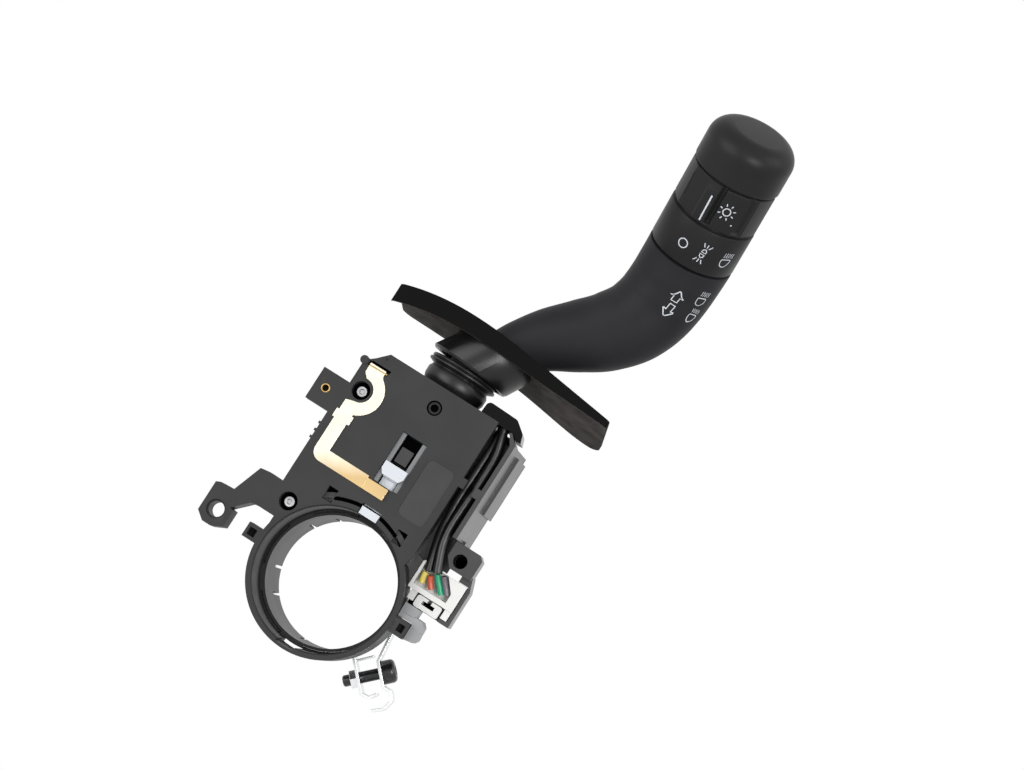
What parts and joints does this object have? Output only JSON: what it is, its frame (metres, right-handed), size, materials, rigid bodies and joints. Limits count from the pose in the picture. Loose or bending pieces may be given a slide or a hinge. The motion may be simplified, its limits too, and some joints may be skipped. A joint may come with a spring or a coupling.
{
  "type": "combination stalk switch",
  "caption": "Indicator, dip and exterior light stalk on a steering column ring, with a rotary light knob, self-cancelling plunger, cable plug and clamp band.",
  "frame": {"origin": "on the steering column axis, at the seat of the column sleeve's flange in the ring", "axes": "+Z along the column axis towards the driver, +Y from the column towards the lever, +X towards the cable plug"},
  "size_m": [0.1016, 0.2207, 0.078],
  "materials": {
    "housing_plastic": "fine moulded grain",
    "cover_plastic": "fine moulded grain",
    "lever_plastic": "soft fine grain",
    "head_plastic": "soft satin grain",
    "collar_plastic": "smooth gloss",
    "shield_rubber": "matte, slightly rough",
    "gaiter_rubber": "satin moulded rubber",
    "natural_nylon": "translucent white",
    "grey_nylon": "light grey moulding",
    "connector_nylon": "natural white",
    "contact_brass": "rolled strip, slightly dull",
    "bright_zinc": "bright zinc plate",
    "pin_steel": "ground steel",
    "black_oxide": "black oxide",
    "board_laminate": "resin board",
    "cable_sleeve": "soft vinyl, slightly glossy",
    "wire_yellow": "insulation",
    "wire_red": "insulation",
    "wire_green": "insulation",
    "wire_grey": "insulation"
  },
  "bodies": {
    "housing": {"front_plate": "housing_plastic", "housing_body": "housing_plastic", "rear_cover": "cover_plastic", "column_sleeve": "cover_plastic", "clamp_band": "bright_zinc", "clamp_bolt": "black_oxide", "clamp_nut": "bright_zinc", "plate_screws": "bright_zinc", "cover_screws": "bright_zinc", "threaded_insert": "contact_brass", "horn_contact_strip": "contact_brass", "connector_housing": "connector_nylon", "connector_latch": "connector_nylon", "connector_pins": "contact_brass", "cable_sleeve_left": "cable_sleeve", "cable_sleeve_right": "cable_sleeve", "wire_yellow": "wire_yellow", "wire_red": "wire_red", "wire_green": "wire_green", "wire_grey": "wire_grey", "cable_hood": "cover_plastic", "band_clip": "grey_nylon", "plunger_guide": "grey_nylon", "plunger_spring": "pin_steel", "detent_track": "natural_nylon", "contact_board": "board_laminate", "fixed_contacts": "contact_brass", "gaiter": "gaiter_rubber"},
    "carrier": {"turn_yoke": "cover_plastic", "tilt_pin": "pin_steel", "turn_detent_spring": "pin_steel"},
    "turn_detent": {"turn_detent_pin": "natural_nylon"},
    "lever": {"lever_root": "lever_plastic", "lever_collar": "collar_plastic", "lever_arm": "lever_plastic", "shield": "shield_rubber", "legend_ring": "head_plastic", "dip_detent_spring": "pin_steel"},
    "dip_detent": {"dip_detent_pin": "natural_nylon"},
    "light_knob": {"knob_grip": "head_plastic", "knob_cap": "head_plastic", "knob_spindle": "pin_steel"},
    "cancel_plunger": {"cancel_plunger": "natural_nylon"},
    "turn_slider": {"turn_contact_slider": "natural_nylon"},
    "dip_slider": {"dip_contact_slider": "natural_nylon"}
  },
  "joints": [
    {"name": "turn_swing", "type": "hinge", "parent": "housing", "child": "carrier", "pos_m": [0, 0.0633, 0.003], "axis": [0, 0, 1], "range_deg": [-8.5, 8.5], "deforming": ["gaiter"]},
    {"name": "dip_flash_tilt", "type": "hinge", "parent": "carrier", "child": "lever", "pos_m": [0, 0.0633, 0.003], "axis": [1, 0, 0], "range_deg": [-5, 6], "stiffness_Nm_per_rad": 0.8},
    {"name": "light_knob_turn", "type": "hinge", "parent": "lever", "child": "light_knob", "pos_m": [0.0408, 0.148, 0.013], "axis": [0.0262, 0.8288, 0.559], "range_deg": [0, 60]},
    {"name": "cancel_plunger_slide", "type": "slide", "parent": "housing", "child": "cancel_plunger", "axis": [0, 1, 0], "range_m": [-0.0024, 0], "stiffness_N_per_m": 60, "deforming": ["plunger_spring"]},
    {"name": "turn_detent_slide", "type": "slide", "parent": "carrier", "child": "turn_detent", "axis": [0, 1, 0], "range_m": [0, 0.0012], "stiffness_N_per_m": 300, "deforming": ["turn_detent_spring"]},
    {"name": "dip_detent_slide", "type": "slide", "parent": "lever", "child": "dip_detent", "axis": [0, 1, 0], "range_m": [0, 0.001], "stiffness_N_per_m": 300, "deforming": ["dip_detent_spring"]},
    {"name": "turn_contact_slide", "type": "slide", "parent": "housing", "child": "turn_slider", "axis": [1, 0, 0], "range_m": [-0.0026, 0.0026]},
    {"name": "dip_contact_slide", "type": "slide", "parent": "carrier", "child": "dip_slider", "axis": [0, 0, 1], "range_m": [-0.0009, 0.0009]}
  ],
  "couplings": [
    {"joint": "turn_contact_slide", "follows": "turn_swing", "m_per_rad": 0.0163},
    {"joint": "dip_contact_slide", "follows": "dip_flash_tilt", "m_per_rad": -0.007}
  ]
}
